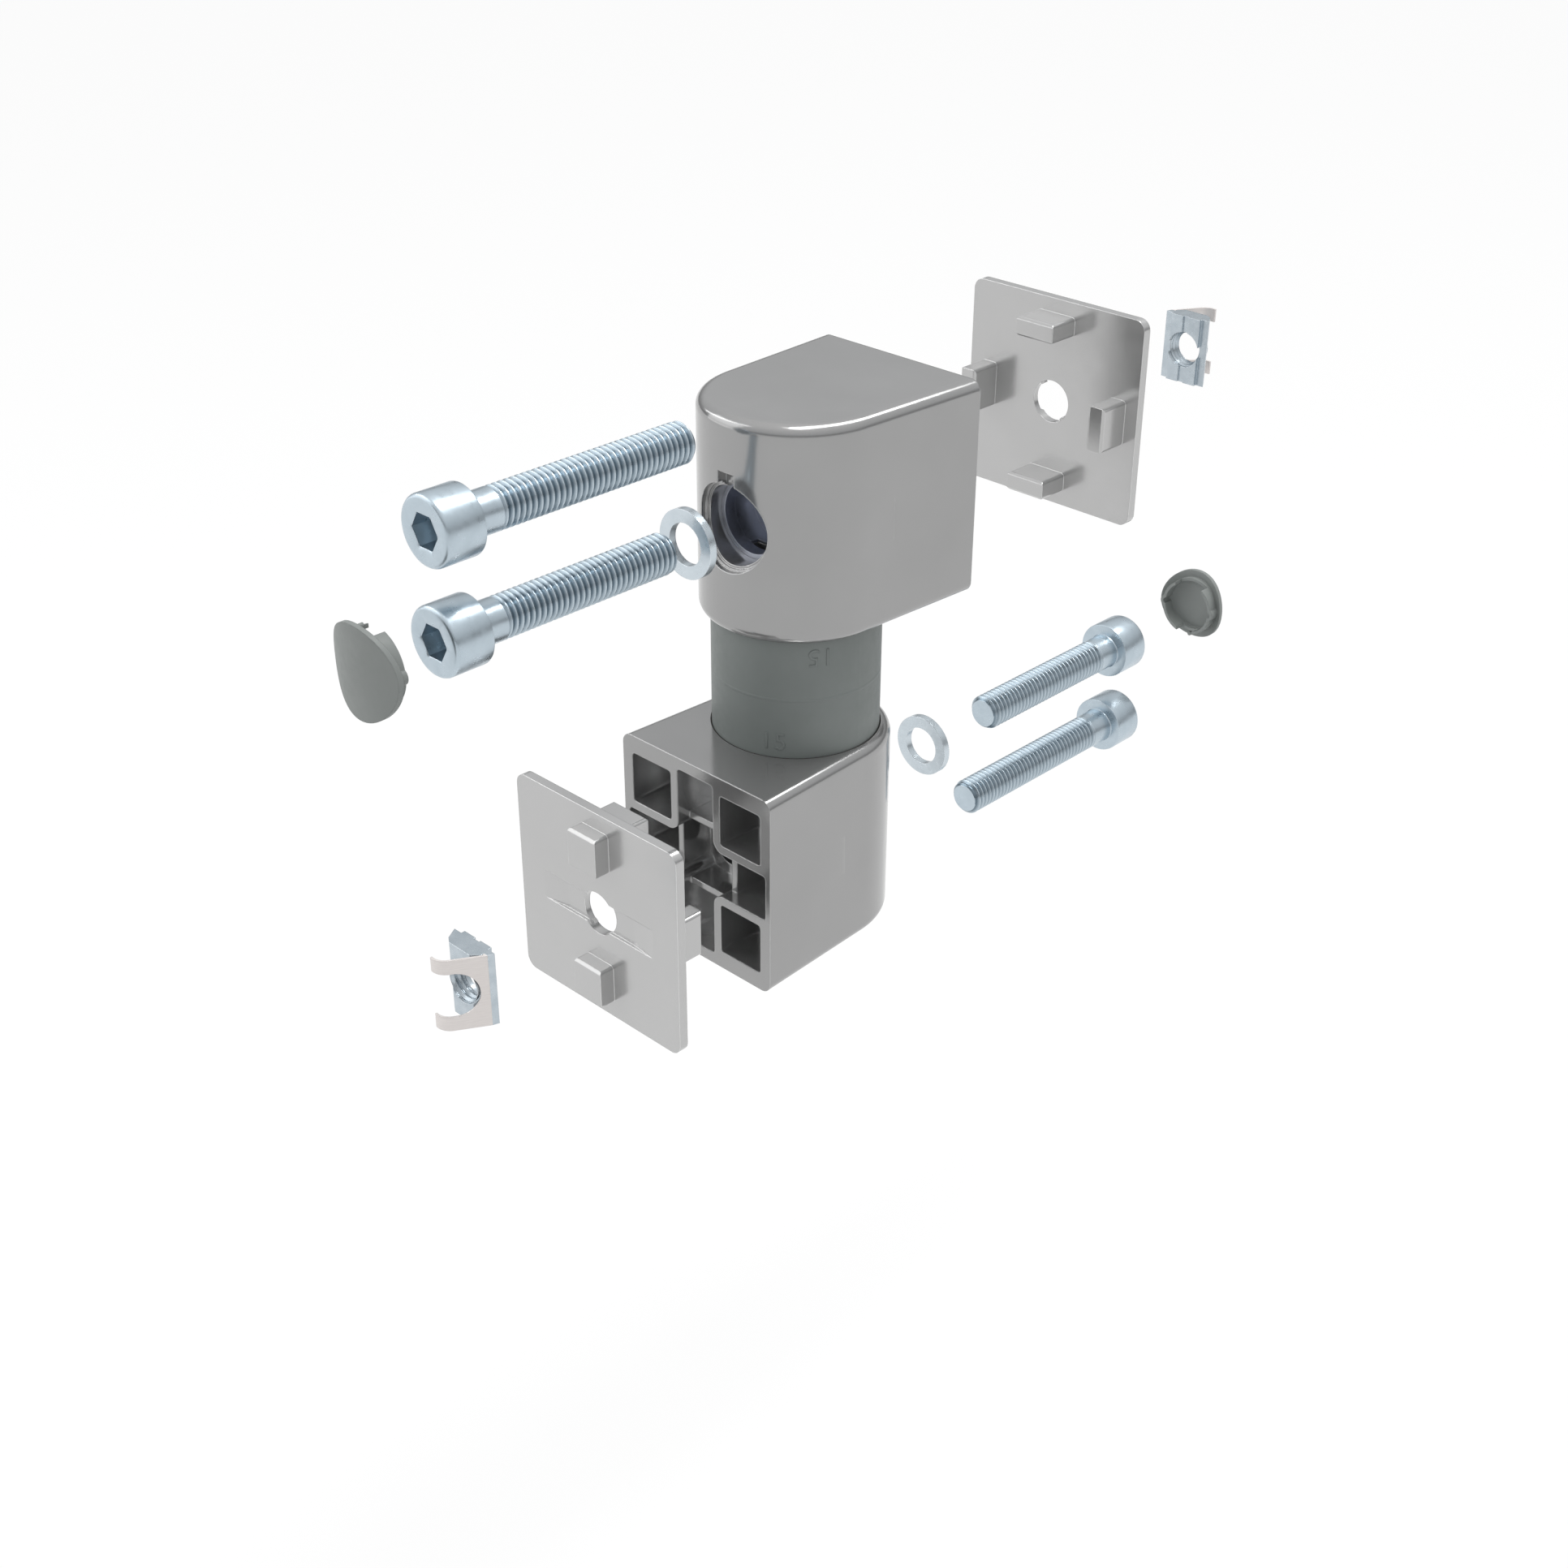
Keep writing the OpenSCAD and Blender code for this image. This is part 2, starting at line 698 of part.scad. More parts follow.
// Slot nut in its closed place, shoulders at y = nut_y. Its left edge is notched for the leaf.
module slot_nut_shape() {
    w = nut_w / 2;
    s = nut_step_w / 2;
    g = nut_groove_w / 2;
    top = nut_y - nut_step;
    back = nut_y + nut_t;
    translate([0, 0, axis_z])
        difference() {
            translate([0, 0, -nut_l / 2])
                linear_extrude(height = nut_l)
                    polygon([[-w, nut_y], [-s, nut_y], [-s, top], [-g, top],
                        [-g, top + nut_groove_depth], [g, top + nut_groove_depth],
                        [g, top], [s, top], [s, nut_y], [w, nut_y],
                        [w * 0.74, nut_y + nut_t * 0.74], [nut_back_half, back],
                        [-nut_back_half, back], [leaf_tab_x, leaf_y + leaf_t * 2],
                        [leaf_tab_x, leaf_y], [leaf_root_x, leaf_y]]);
            translate([0, top - 1, 0])
                rotate([-90, 0, 0]) cylinder(r = nut_hole_r, h = nut_t + nut_step + 2);
        }
}

// Leaf spring of a slot nut: a tab on the notch of the nut, a leaning run with a round cut-out
// and two arms that curl at their ends
module nut_spring_shape() {
    root = [leaf_root_x, leaf_y];
    dir = [cos(leaf_lean), sin(leaf_lean)];
    centre = root + leaf_run * dir + leaf_curl_r * [dir[1], -dir[0]];
    bend = leaf_t * (1 + dir[0]) / dir[1];
    turns = [for (a = [leaf_lean : -5 : -11]) a];
    outer = [for (a = turns) centre + leaf_curl_r * [-sin(a), cos(a)]];
    inner = [for (i = [len(turns) - 1 : -1 : 0])
        centre + (leaf_curl_r - leaf_t) * [-sin(turns[i]), cos(turns[i])]];
    translate([0, 0, axis_z])
        difference() {
            translate([0, 0, -nut_l / 2])
                linear_extrude(height = nut_l)
                    polygon(concat([[leaf_tab_x, leaf_y], root], outer, inner,
                        [[root[0] + bend, leaf_y + leaf_t], [leaf_tab_x, leaf_y + leaf_t]]));
            translate([root[0], root[1], 0])
                rotate([0, 0, leaf_lean])
                    translate([leaf_strip + leaf_cut_r, 0, 0])
                        leaf_cut();
        }
}

module leaf_cut() {
    rotate([90, 0, 0]) cylinder(r = leaf_cut_r, h = 40, center = true);
    translate([0, -20, -leaf_cut_r]) cube([20, 40, 2 * leaf_cut_r]);
}

// Origin at the centre of the lower plate's profile side
module framed() {
    translate([0, flat_y + plate_t + lower_plate_out, drawn_axis_z]) children();
}

module upper_at(y) {
    framed() translate([0, y, lift]) children();
}

module lower_at(y) {
    framed() turned() translate([0, y, lift]) children();
}

module upper_housing() { color(housing_colour) upper_at(0) housing_shape(); }
module lower_housing() { color(housing_colour) lower_at(0) housing_shape(); }
module upper_core_half() { color(core_colour) framed() core_half_shape(); }
module lower_core_half() { color(core_colour) framed() turned() core_half_shape(); }
module upper_seat_sleeve() { color(dark_steel_colour) upper_at(0) seat_sleeve_shape(); }
module lower_seat_sleeve() { color(dark_steel_colour) lower_at(0) seat_sleeve_shape(); }
module upper_plate() { color(plate_colour) upper_at(upper_plate_out) plate_shape(); }
module lower_plate() { color(plate_colour) lower_at(lower_plate_out) plate_shape(); }
module upper_washer() { color(steel_colour) upper_at(-upper_washer_out) washer_shape(); }
module lower_washer() { color(steel_colour) lower_at(-lower_washer_out) washer_shape(); }
module upper_screw() { color(steel_colour) upper_at(-upper_screw_out) screw_shape(screw_l); }
module lower_screw() { color(steel_colour) lower_at(-lower_screw_out) screw_shape(screw_l); }
module upper_spare_screw() {
    color(steel_colour)
        translate([0, 0, spare_pitch]) upper_at(-upper_screw_out) screw_shape(spare_screw_l);
}
module lower_spare_screw() {
    color(steel_colour)
        translate([0, 0, -spare_pitch]) lower_at(-lower_screw_out) screw_shape(spare_screw_l);
}
module upper_cap() { color(cap_colour) upper_at(-upper_cap_out) cap_shape(); }
module lower_cap() { color(cap_colour) lower_at(-lower_cap_out) cap_shape(); }
module upper_slot_nut() { color(steel_colour) upper_at(upper_nut_out) slot_nut_shape(); }
module lower_slot_nut() {
    color(steel_colour) lower_at(lower_nut_out) mirror([1, 0, 0]) slot_nut_shape();
}
module upper_nut_spring() { color(leaf_colour) upper_at(upper_nut_out) nut_spring_shape(); }
module lower_nut_spring() {
    color(leaf_colour) lower_at(lower_nut_out) mirror([1, 0, 0]) nut_spring_shape();
}

upper_housing();
lower_housing();
upper_core_half();
lower_core_half();
pivot_bolt();
friction_disc();
thrust_washer();
disc_springs();
lock_nut();
upper_seat_sleeve();
lower_seat_sleeve();
upper_plate();
lower_plate();
upper_washer();
lower_washer();
upper_screw();
lower_screw();
upper_spare_screw();
lower_spare_screw();
upper_cap();
lower_cap();
upper_slot_nut();
lower_slot_nut();
upper_nut_spring();
lower_nut_spring();
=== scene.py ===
# Looks of the friction joint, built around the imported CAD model.
# Metres, in the row's frame: the origin is on the lower plate's profile side.
import json
import math

import bpy
import bmesh
from mathutils import Matrix, Vector


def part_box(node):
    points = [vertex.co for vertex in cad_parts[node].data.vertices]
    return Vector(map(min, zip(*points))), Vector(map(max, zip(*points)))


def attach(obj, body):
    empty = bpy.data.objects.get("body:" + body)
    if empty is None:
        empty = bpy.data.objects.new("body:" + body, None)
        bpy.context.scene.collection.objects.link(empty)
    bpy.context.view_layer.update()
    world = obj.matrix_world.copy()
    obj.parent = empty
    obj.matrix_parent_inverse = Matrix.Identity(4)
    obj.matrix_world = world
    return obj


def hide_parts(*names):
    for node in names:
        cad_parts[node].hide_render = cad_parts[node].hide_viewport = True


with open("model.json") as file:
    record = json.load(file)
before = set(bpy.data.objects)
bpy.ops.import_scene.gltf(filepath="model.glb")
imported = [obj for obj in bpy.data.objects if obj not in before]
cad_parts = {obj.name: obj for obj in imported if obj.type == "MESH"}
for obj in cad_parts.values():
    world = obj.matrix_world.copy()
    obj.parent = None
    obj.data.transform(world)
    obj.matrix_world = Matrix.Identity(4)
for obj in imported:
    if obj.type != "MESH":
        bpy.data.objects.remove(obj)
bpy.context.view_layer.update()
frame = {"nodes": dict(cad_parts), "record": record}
NODES = frame["nodes"]

MM = 0.001
# Centre of the swivel, between the two core halves
SWIVEL = Vector((0, 54.5, 34.6)) * MM


# ---------------------------------------------------------------- materials

BEVEL_SAMPLES = 4
AO_SAMPLES = 6
# Cosine between the rounded and the true normal: full painted highlight below the first, none above
# the second
HIGHLIGHT_FULL, HIGHLIGHT_NONE = 0.80, 0.985
# How far around a point its shelter is looked for, for the painted fill light in the cells
SHELTER_REACH = 12 * MM
# Openness of a point with full shelter, and of one without any
CLOSED, OPEN = 0.12, 0.42
# Painted shade in the grooves of a thread
GROOVE_SHADE = (0.17, 0.225, 0.27)


def add(nt, kind, inputs=None, **settings):
    """New shader node; each of its inputs is a socket to link or a plain value."""
    made = nt.nodes.new("ShaderNode" + kind)
    for key, value in settings.items():
        setattr(made, key, value)
    for key, value in (inputs or {}).items():
        if isinstance(value, bpy.types.NodeSocket):
            nt.links.new(value, made.inputs[key])
        else:
            made.inputs[key].default_value = value
    return made


def new_material(name):
    """Material with a principled shader and its output; returns it, its tree and the two nodes."""
    mat = bpy.data.materials.new(name)
    mat.use_nodes = True
    nt = mat.node_tree
    nt.nodes.clear()
    bsdf = add(nt, "BsdfPrincipled")
    out = add(nt, "OutputMaterial", {"Surface": bsdf.outputs["BSDF"]})
    return mat, nt, bsdf, out


def coords(nt, scale=(1, 1, 1)):
    source = add(nt, "TexCoord").outputs["Object"]
    return add(nt, "Mapping", {"Scale": scale, "Vector": source}).outputs["Vector"]


def noise(nt, vector, scale, detail=3.0, rough=0.55):
    return add(nt, "TexNoise", {"Scale": scale, "Detail": detail, "Roughness": rough,
                                "Vector": vector}).outputs["Fac"]


def spread(nt, value, low, high, start=0.3, end=0.7):
    """Map start..end to low..high, and hold what lies outside at the nearer end."""
    return add(nt, "MapRange", {"From Min": start, "From Max": end, "To Min": low, "To Max": high,
                                "Value": value}).outputs["Result"]


def tint(nt, value, dark, light):
    """Colour between dark and light by a noise value."""
    ramp = add(nt, "ValToRGB", {"Fac": value})
    for stop, at, colour in zip(ramp.color_ramp.elements, (0.3, 0.7), (dark, light)):
        stop.position = at
        stop.color = (*colour, 1)
    return ramp.outputs["Color"]


def blend(nt, factor, base, colour):
    """From the base at factor 0 to a plain colour at factor 1."""
    return add(nt, "Mix", {"Factor": factor, "A": base, "B": (*colour, 1)},
               data_type="RGBA").outputs["Result"]


def edge_normal(nt, radius):
    return add(nt, "Bevel", {"Radius": radius}, samples=BEVEL_SAMPLES).outputs["Normal"]


def bump(nt, value, strength, distance, normal):
    return add(nt, "Bump", {"Strength": strength, "Distance": distance, "Height": value,
                            "Normal": normal}).outputs["Normal"]


def edge_highlight(nt, base, light, radius, amount):
    """Painted highlight: lighter colour along the edges, found by comparing a rounded normal with
    the true one.
    """
    true_normal = add(nt, "NewGeometry").outputs["Normal"]
    match = add(nt, "VectorMath", {0: edge_normal(nt, radius), 1: true_normal},
                operation="DOT_PRODUCT")
    return blend(nt, spread(nt, match.outputs["Value"], amount, 0.0, HIGHLIGHT_FULL, HIGHLIGHT_NONE), base, light)


def cell_side(nt):
    """1 on the half of a housing that has the cells, 0 on its round half."""
    point = add(nt, "TexCoord").outputs["Object"]
    away = add(nt, "VectorMath", {0: point, 1: tuple(SWIVEL)}, operation="SUBTRACT")
    split = add(nt, "SeparateXYZ", {"Vector": away.outputs["Vector"]})
    # The cells of the lower housing look along -Y, those of the upper one along +Y
    product = add(nt, "Math", {0: split.outputs["Y"], 1: split.outputs["Z"]}, operation="MULTIPLY")
    return spread(nt, product.outputs["Value"], 0.0, 1.0, 0.0, 0.0001)


def painted_cell_fill(nt, base, painted_fill):
    """Painted fill light: paler colour deep inside the cells, where they are sheltered."""
    ao = add(nt, "AmbientOcclusion", {"Distance": SHELTER_REACH}, samples=AO_SAMPLES)
    depth = spread(nt, ao.outputs["AO"], 1.0, 0.0, CLOSED, OPEN)
    deep = add(nt, "Math", {0: depth, 1: cell_side(nt)}, operation="MULTIPLY")
    return blend(nt, deep.outputs["Value"], base, painted_fill)


def finish(nt, bsdf, colour, rough, normal):
    for key, value in (("Base Color", colour), ("Roughness", rough), ("Normal", normal)):
        nt.links.new(value, bsdf.inputs[key])


def cast_metal(name, dark, light, rim_highlight, rough, edge_r, metallic, painted_fill=None):
    """Zinc die casting, tumbled smooth: faint cloudiness, tiny pores, painted highlights on the
    rims, painted fill light in the cells.
    """
    mat, nt, bsdf, _ = new_material(name)
    v = coords(nt)
    base = tint(nt, noise(nt, v, 45, 4), dark, light)
    # With a fill colour, the sheltered cells get painted fill light
    if painted_fill:
        base = painted_cell_fill(nt, base, painted_fill)
    skin = bump(nt, noise(nt, v, 180, 2, 0.4), 0.10, 0.00002, edge_normal(nt, edge_r))
    # The rims get a painted highlight in the rim colour
    finish(nt, bsdf, edge_highlight(nt, base, rim_highlight, edge_r, 0.7),
           spread(nt, noise(nt, v, 150, 4), rough - 0.025, rough + 0.04),
           bump(nt, noise(nt, v, 2200, 2, 0.5), 0.035, 0.00002, skin))
    bsdf.inputs["Metallic"].default_value = metallic
    return mat


def moulded(name, dark, light, rough, edge_r):
    """Moulded plastic: fine spark-eroded grain and a low sheen."""
    mat, nt, bsdf, _ = new_material(name)
    v = coords(nt)
    base = tint(nt, noise(nt, v, 90, 3), dark, light)
    # Painted highlight along the edges, a third lighter than the plastic
    finish(nt, bsdf, edge_highlight(nt, base, tuple(c * 1.3 for c in light), edge_r, 0.4),
           spread(nt, noise(nt, v, 700, 3), rough - 0.05, rough + 0.06),
           bump(nt, noise(nt, v, 3400, 2, 0.6), 0.06, 0.00004, edge_normal(nt, edge_r)))
    bsdf.inputs["Specular IOR Level"].default_value = 0.4
    return mat


def plated(name, dark, light, rim_highlight, rough, edge_r, grain=0.05, threaded=False):
    """Bright zinc plating: bluish, slightly mottled crystals under a clear chromate."""
    mat, nt, bsdf, _ = new_material(name)
    v = coords(nt)
    # Painted highlight along the edges in the rim colour
    base = edge_highlight(nt, tint(nt, noise(nt, v, 420, 4, 0.6), dark, light), rim_highlight, edge_r, 0.6)
    if threaded:
        # The mesh says how deep in a groove each of its points lies; the grooves get painted shade
        # by it
        deep = add(nt, "Attribute", attribute_name="groove").outputs["Fac"]
        base = blend(nt, deep, base, GROOVE_SHADE)
    finish(nt, bsdf, base, spread(nt, noise(nt, v, 500, 3), rough - 0.05, rough + 0.08),
           bump(nt, noise(nt, v, 900, 3, 0.6), grain, 0.00003, edge_normal(nt, edge_r)))
    bsdf.inputs["Metallic"].default_value = 0.97
    return mat


def strip_steel(name, dark, light, rough, edge_r):
    """Rolled spring strip with fine rolling lines along its run."""
    mat, nt, bsdf, _ = new_material(name)
    v = coords(nt, (1, 1, 60))
    finish(nt, bsdf, tint(nt, noise(nt, v, 300, 3), dark, light),
           spread(nt, noise(nt, v, 500, 2), rough - 0.05, rough + 0.05),
           bump(nt, noise(nt, v, 900, 2), 0.06, 0.00003, edge_normal(nt, edge_r)))
    bsdf.inputs["Metallic"].default_value = 0.45
    return mat


# Each rim colour below is a painted highlight along that material's edges
MATS = {
    "die_cast": cast_metal(
        "die_cast", dark=(0.335, 0.335, 0.334), light=(0.356, 0.356, 0.355),
        rim_highlight=(0.60, 0.60, 0.60), rough=0.14, edge_r=0.0004, metallic=0.76,
        # Painted fill light deep in the cells
        painted_fill=(0.86, 0.86, 0.86)),
    "plate_die_cast": cast_metal(
        "plate_die_cast", dark=(0.490, 0.490, 0.488), light=(0.508, 0.508, 0.506),
        rim_highlight=(0.92, 0.92, 0.915), rough=0.20, edge_r=0.00025, metallic=0.78),
    "core_plastic": moulded(
        "core_plastic", dark=(0.169, 0.187, 0.180), light=(0.186, 0.205, 0.198),
        rough=0.50, edge_r=0.0003),
    "cap_plastic": moulded(
        "cap_plastic", dark=(0.200, 0.214, 0.207), light=(0.221, 0.236, 0.229),
        rough=0.48, edge_r=0.0003),
    "friction_lining": moulded(
        "friction_lining", dark=(0.03, 0.028, 0.026), light=(0.05, 0.047, 0.044),
        rough=0.75, edge_r=0.0002),
    "zinc_steel": plated(
        "zinc_steel", dark=(0.57, 0.635, 0.68), light=(0.62, 0.685, 0.73),
        rim_highlight=(0.90, 0.94, 0.97), rough=0.28, edge_r=0.00015),
    "screw_steel": plated(
        "screw_steel", dark=(0.475, 0.555, 0.612), light=(0.515, 0.597, 0.657),
        rim_highlight=(0.88, 0.93, 0.97), rough=0.30, edge_r=0.00012, grain=0.03, threaded=True),
    "nut_steel": plated(
        "nut_steel", dark=(0.45, 0.51, 0.555), light=(0.54, 0.60, 0.645),
        rim_highlight=(0.86, 0.90, 0.93), rough=0.28, edge_r=0.00015),
    "inner_steel": plated(
        "inner_steel", dark=(0.49, 0.51, 0.58), light=(0.51, 0.535, 0.61),
        rim_highlight=(0.60, 0.63, 0.70), rough=0.36, edge_r=0.0002, grain=0.0),
    "leaf_steel": strip_steel(
        "leaf_steel", dark=(0.68, 0.64, 0.62), light=(0.76, 0.72, 0.70),
        rough=0.40, edge_r=0.00012),
}

SLOT_OF = {s["node"]: s["material_slot"] for s in frame["record"]["subparts"]}


def dress(obj, mat):
    if not obj.material_slots:
        obj.data.materials.append(mat)
    for s in obj.material_slots:
        s.material = mat


for name, obj in NODES.items():
    dress(obj, MATS["nut_steel" if name.endswith("slot_nut") else SLOT_OF[name]])


# ---------------------------------------------------------------- mesh helpers

# Edges that turn by more than this stay sharp, in degrees
SHARP = 32


def link(name, data):
    obj = bpy.data.objects.new(name, data)
    bpy.context.scene.collection.objects.link(obj)
    return obj


def seat(name, mesh, body, mat):
    """Piece that scene.py adds: dressed, riding on a body, with its material slot."""
    obj = link(name, mesh)
    dress(obj, MATS[mat])
    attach(obj, body)
    return obj


def finish_mesh(bm, name, sharp=SHARP):
    """Mesh of a bmesh, smooth all over but for rims and sharp edges."""
    bm.normal_update()
    limit = math.radians(sharp)
    for f in bm.faces:
        f.smooth = True
    for e in bm.edges:
        e.smooth = len(e.link_faces) == 2 and e.calc_face_angle(0) < limit
    mesh = bpy.data.meshes.new(name)
    bm.to_mesh(mesh)
    bm.free()
    return mesh


def circle(n):
    """Cosine and sine of n directions all around."""
    return [(math.cos(2 * math.pi * j / n), math.sin(2 * math.pi * j / n)) for j in range(n)]


def bridge(bm, a, b):
    """Faces between two closed rings of as many points."""
    n = len(a)
    for j in range(n):
        k = (j + 1) % n
        bm.faces.new((a[j], a[k], b[k], b[j]))


# ---------------------------------------------------------------- threads, in millimetres

RADIAL = 72
PITCH = 1.25
# Radii of the crests of the screws, of their grooves, and of the nuts' bores
SCREW_R, GROOVE_R, BORE_R = 3.98, 3.32, 4.0
# How far a nut's thread stands into its bore
NUT_DEPTH = 0.50
# How fast a thread runs out at its ends, in millimetres of depth per millimetre along it
RUN_OUT = 0.9
# Points of a thread that lie closer than this are one
WELD = 0.0004
# Thread profile over one pitch, as (share of the pitch, share of the depth)
PROFILE = [(0.0, 0.0), (0.10, 0.0), (0.20, 0.25), (0.36, 0.72), (0.44, 0.95), (0.48, 1.0),
           (0.58, 1.0), (0.62, 0.95), (0.70, 0.72), (0.86, 0.25)]
# Where a crest lies in its pitch
CREST = 0.53


def ring(bm, radius, y):
    """Ring of points about Y."""
    return [bm.verts.new((radius * c, y, radius * s)) for c, s in circle(RADIAL)]


def thread(bm, start, end, radius_at, phase=0.0):
    """Surface of a helical thread about Y, clamped to its ends; phase is a share of the pitch."""
    k = len(PROFILE)
    turns = int(math.ceil((end - start) / PITCH)) + 3
    rows = []
    for i in range(turns * k + 1):
        share, depth = PROFILE[i % k]
        # It begins two turns early, so that no phase leaves a gap at the start
        base = start - 2 * PITCH + (i // k + share + phase) * PITCH
        row = []
        for j, (c, s) in enumerate(circle(RADIAL)):
            y = min(max(base + PITCH * j / RADIAL, start), end)
            r = radius_at(y, depth)
            row.append(bm.verts.new((r * c, y, r * s)))
        rows.append(row)
    for i in range(len(rows) - 1):
        for j in range(RADIAL - 1):
            bm.faces.new((rows[i][j], rows[i][j + 1], rows[i + 1][j + 1], rows[i + 1][j]))
        # One turn on, the last point of a row meets the first one of the row a pitch above
        if i + k + 1 < len(rows):
            bm.faces.new((rows[i][-1], rows[i + k][0], rows[i + k + 1][0], rows[i + 1][-1]))


# ---------------------------------------------------------------- screws, in millimetres

LENGTH, SPARE_LENGTH = 45, 50
# Smooth neck as a share of the length
NECK = 0.115
# Radius of the chamfered tip at its end
TIP_R = 3.1
HEAD_R, HEAD_H = 6.5, 8.0
# Corner radius of the hexagonal socket, 6 mm across its flats, and its depth
SOCKET_R = 6.0 / math.sqrt(3)
SOCKET_DEPTH = 4.0
# Width and depth of the chamfer at its mouth, and how much of its width it keeps at the bottom
CHAMFER_W, CHAMFER_D = 0.12, 0.16
DRAFT = 0.985
# Drilled cone below it: the share of the width at its shoulder, and how deep shoulder and point lie
SHOULDER, SHOULDER_D, POINT_D = 0.55, 0.35, 0.95
SIXTH = math.pi / 3


def hexagon(bm, radius, y):
    """Ring of points along a hexagon about Y; the first point is on a corner."""
    points = []
    for j in range(RADIAL):
        a = 2 * math.pi * j / RADIAL
        off = (a + SIXTH / 2) % SIXTH - SIXTH / 2
        reach = radius * math.cos(SIXTH / 2) / math.cos(off)
        a += SIXTH / 2
        points.append(bm.verts.new((reach * math.cos(a), y, reach * math.sin(a))))
    return points


def socket(bm, rim):
    """Hexagonal socket in the top of the head: a chamfered mouth, six walls and a drilled cone."""
    mouth = ring(bm, SOCKET_R + CHAMFER_W, -HEAD_H)
    bridge(bm, rim, mouth)
    lip = hexagon(bm, SOCKET_R, -HEAD_H + CHAMFER_D)
    # The hexagon is turned by 30 degrees, so the mouth ring is turned with it
    bridge(bm, mouth[RADIAL // 12:] + mouth[:RADIAL // 12], lip)
    floor = -HEAD_H + SOCKET_DEPTH
    base = hexagon(bm, SOCKET_R * DRAFT, floor)
    bridge(bm, lip, base)
    cone = [bm.verts.new((v.co.x * SHOULDER, floor + SHOULDER_D, v.co.z * SHOULDER)) for v in base]
    bridge(bm, base, cone)
    point = bm.verts.new((0, floor + POINT_D, 0))
    for j in range(RADIAL):
        bm.faces.new((cone[j], cone[(j + 1) % RADIAL], point))


def screw_mesh(name, length):
    """Socket head cap screw along +Y with its bearing face at y = 0."""
    bm = bmesh.new()
    neck = length * NECK

    def radius_at(y, depth):
        value = GROOVE_R + (SCREW_R - GROOVE_R) * depth
        value = min(value, TIP_R + length - y)
        return max(value, SCREW_R - max(0.0, y - neck) * RUN_OUT)

    thread(bm, neck, length, radius_at)
    # Neck, fillet under the head, bearing face and head
    outline = [(SCREW_R, neck), (SCREW_R, 0.40), (SCREW_R + 0.05, 0.14), (SCREW_R + 0.17, 0.0),
               (HEAD_R - 0.25, 0.0), (HEAD_R - 0.06, -0.08), (HEAD_R, -0.3),
               (HEAD_R, -HEAD_H + 0.75), (HEAD_R - 0.10, -HEAD_H + 0.42),
               (HEAD_R - 0.32, -HEAD_H + 0.14), (HEAD_R - 0.62, -HEAD_H + 0.02),
               (HEAD_R - 0.9, -HEAD_H)]
    rings = [ring(bm, r, y) for r, y in outline]
    for a, b in zip(rings, rings[1:]):
        bridge(bm, a, b)
    socket(bm, rings[-1])
    bmesh.ops.remove_doubles(bm, verts=bm.verts, dist=WELD)
    # End face of the shank
    rim = [e for e in bm.edges
           if len(e.link_faces) == 1 and min(v.co.y for v in e.verts) > length - 0.01]
    centre = bm.verts.new((0, length, 0))
    for e in rim:
        bm.faces.new((e.verts[0], e.verts[1], centre))
    bmesh.ops.recalc_face_normals(bm, faces=bm.faces)
    bmesh.ops.scale(bm, vec=(MM, MM, MM), verts=bm.verts)
    mesh = finish_mesh(bm, name)
    # How deep in a groove each point lies, for the painted shade in the grooves
    groove = mesh.attributes.new("groove", "FLOAT", "POINT")
    for i, v in enumerate(mesh.vertices):
        depth = (SCREW_R - math.hypot(v.co.x, v.co.z) / MM) / (SCREW_R - GROOVE_R)
        on_thread = neck < v.co.y / MM < length - 0.02
        groove.data[i].value = min(max(depth, 0.0), 1.0) if on_thread else 0.0
    return mesh


def place_screw(node, body, length, flip):
    """Put a threaded screw where its CAD node is; flip turns it to look along -Y."""
    low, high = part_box(node)
    centre = (low + high) / 2
    mesh = screw_mesh(node + "_threaded", length)
    bearing = high.y - HEAD_H * MM if flip else low.y + HEAD_H * MM
    turn = Matrix.Rotation(math.pi, 4, "X") if flip else Matrix.Identity(4)
    mesh.transform(Matrix.Translation((centre.x, bearing, centre.z)) @ turn)
    obj = seat(node + "_threaded", mesh, body, "screw_steel")
    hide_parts(node)


place_screw("upper_screw", "upper_screw", LENGTH, flip=False)
place_screw("lower_screw", "lower_screw", LENGTH, flip=True)
place_screw("upper_spare_screw", "upper_housing", SPARE_LENGTH, flip=False)
place_screw("lower_spare_screw", "lower_housing", SPARE_LENGTH, flip=True)


# ---------------------------------------------------------------- slot nuts, in millimetres

# How far each screw and each nut slides home along Y
SCREW_HOME = {"upper": 73.4, "lower": -99.7}
NUT_HOME = {"upper": -92.9, "lower": 49.4}
# Where a screw's groove best takes a nut's crest, past the end of its neck, in pitches
GROOVE, GROOVE_FLIPPED = 0.0175, 0.0425
# Outer radius of the thread's sleeve, just inside the nut's metal
SLEEVE_R = 4.03
# How far the sleeve stays inside the nut on the side that the screw comes from, and on the other
SCREW_SIDE, FAR_SIDE = 0.9, 0.25


def meshing_phase(side, start, flip):
    """Phase of a nut's thread whose crests fall into its screw's grooves once both are home."""
    low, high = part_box(side + "_screw")
    neck = LENGTH * NECK
    if flip:
        groove = high.y / MM - HEAD_H - neck - GROOVE_FLIPPED * PITCH
    else:
        groove = low.y / MM + HEAD_H + neck + GROOVE * PITCH
    gap = groove + SCREW_HOME[side] - start - NUT_HOME[side]
    return (gap / PITCH - CREST) % 1.0


